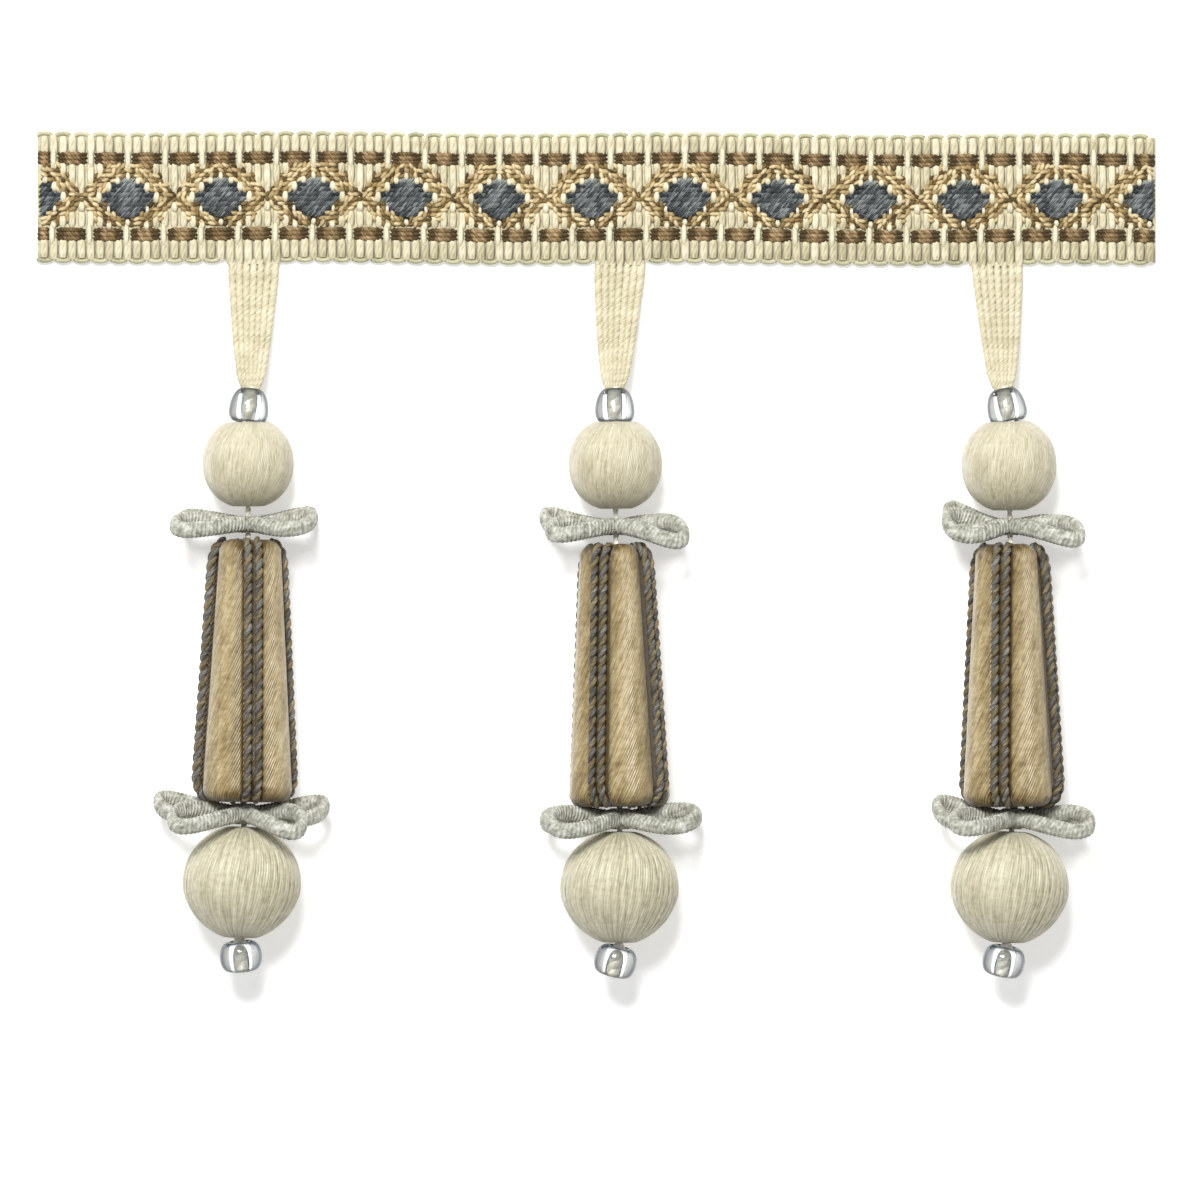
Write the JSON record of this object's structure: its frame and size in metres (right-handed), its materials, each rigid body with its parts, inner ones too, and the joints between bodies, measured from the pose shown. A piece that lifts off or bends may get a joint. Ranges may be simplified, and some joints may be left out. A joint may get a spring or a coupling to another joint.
{
  "type": "tassel fringe trim",
  "caption": "Woven braid trim with hanging drops of gathered yarn, glass beads, thread-wound balls, looped cord rosettes and corded satin cones, lying flat.",
  "frame": {"origin": "below the middle of the whole trim's box, on the surface that it lies on", "axes": "+X along the braid to the right as seen face on, +Y from the drops towards the braid, +Z away from the surface, out of the trim's face"},
  "size_m": [0.1396, 0.1056, 0.015],
  "materials": {
    "braid": "ribbed jacquard weave in cream yarn with tan, brown and slate figures",
    "cream_yarn": "softly twisted cream yarn with a low sheen",
    "wound_thread": "cream silk thread wound from pole to pole, with a satin sheen",
    "gold_satin": "taupe gold satin thread, padded and smooth",
    "twisted_cord": "two-ply cord of slate and tan thread",
    "silver_gimp": "silver sage thread wrapped closely over a flat core",
    "clear_glass": "clear colourless glass, polished"
  },
  "bodies": {
    "root": {"braid": "braid", "drop1_skein": "cream_yarn", "drop1_string": "cream_yarn", "drop1_top_bead": "clear_glass", "drop1_upper_ball": "wound_thread", "drop1_upper_rosette": "silver_gimp", "drop1_cone": "gold_satin", "drop1_cord_1a": "twisted_cord", "drop1_cord_1b": "twisted_cord", "drop1_cord_2a": "twisted_cord", "drop1_cord_2b": "twisted_cord", "drop1_cord_3a": "twisted_cord", "drop1_cord_3b": "twisted_cord", "drop1_cord_4a": "twisted_cord", "drop1_cord_4b": "twisted_cord", "drop1_lower_rosette": "silver_gimp", "drop1_lower_ball": "wound_thread", "drop1_end_bead": "clear_glass", "drop2_skein": "cream_yarn", "drop2_string": "cream_yarn", "drop2_top_bead": "clear_glass", "drop2_upper_ball": "wound_thread", "drop2_upper_rosette": "silver_gimp", "drop2_cone": "gold_satin", "drop2_cord_1a": "twisted_cord", "drop2_cord_1b": "twisted_cord", "drop2_cord_2a": "twisted_cord", "drop2_cord_2b": "twisted_cord", "drop2_cord_3a": "twisted_cord", "drop2_cord_3b": "twisted_cord", "drop2_cord_4a": "twisted_cord", "drop2_cord_4b": "twisted_cord", "drop2_lower_rosette": "silver_gimp", "drop2_lower_ball": "wound_thread", "drop2_end_bead": "clear_glass", "drop3_skein": "cream_yarn", "drop3_string": "cream_yarn", "drop3_top_bead": "clear_glass", "drop3_upper_ball": "wound_thread", "drop3_upper_rosette": "silver_gimp", "drop3_cone": "gold_satin", "drop3_cord_1a": "twisted_cord", "drop3_cord_1b": "twisted_cord", "drop3_cord_2a": "twisted_cord", "drop3_cord_2b": "twisted_cord", "drop3_cord_3a": "twisted_cord", "drop3_cord_3b": "twisted_cord", "drop3_cord_4a": "twisted_cord", "drop3_cord_4b": "twisted_cord", "drop3_lower_rosette": "silver_gimp", "drop3_lower_ball": "wound_thread", "drop3_end_bead": "clear_glass"}
  },
  "joints": []
}
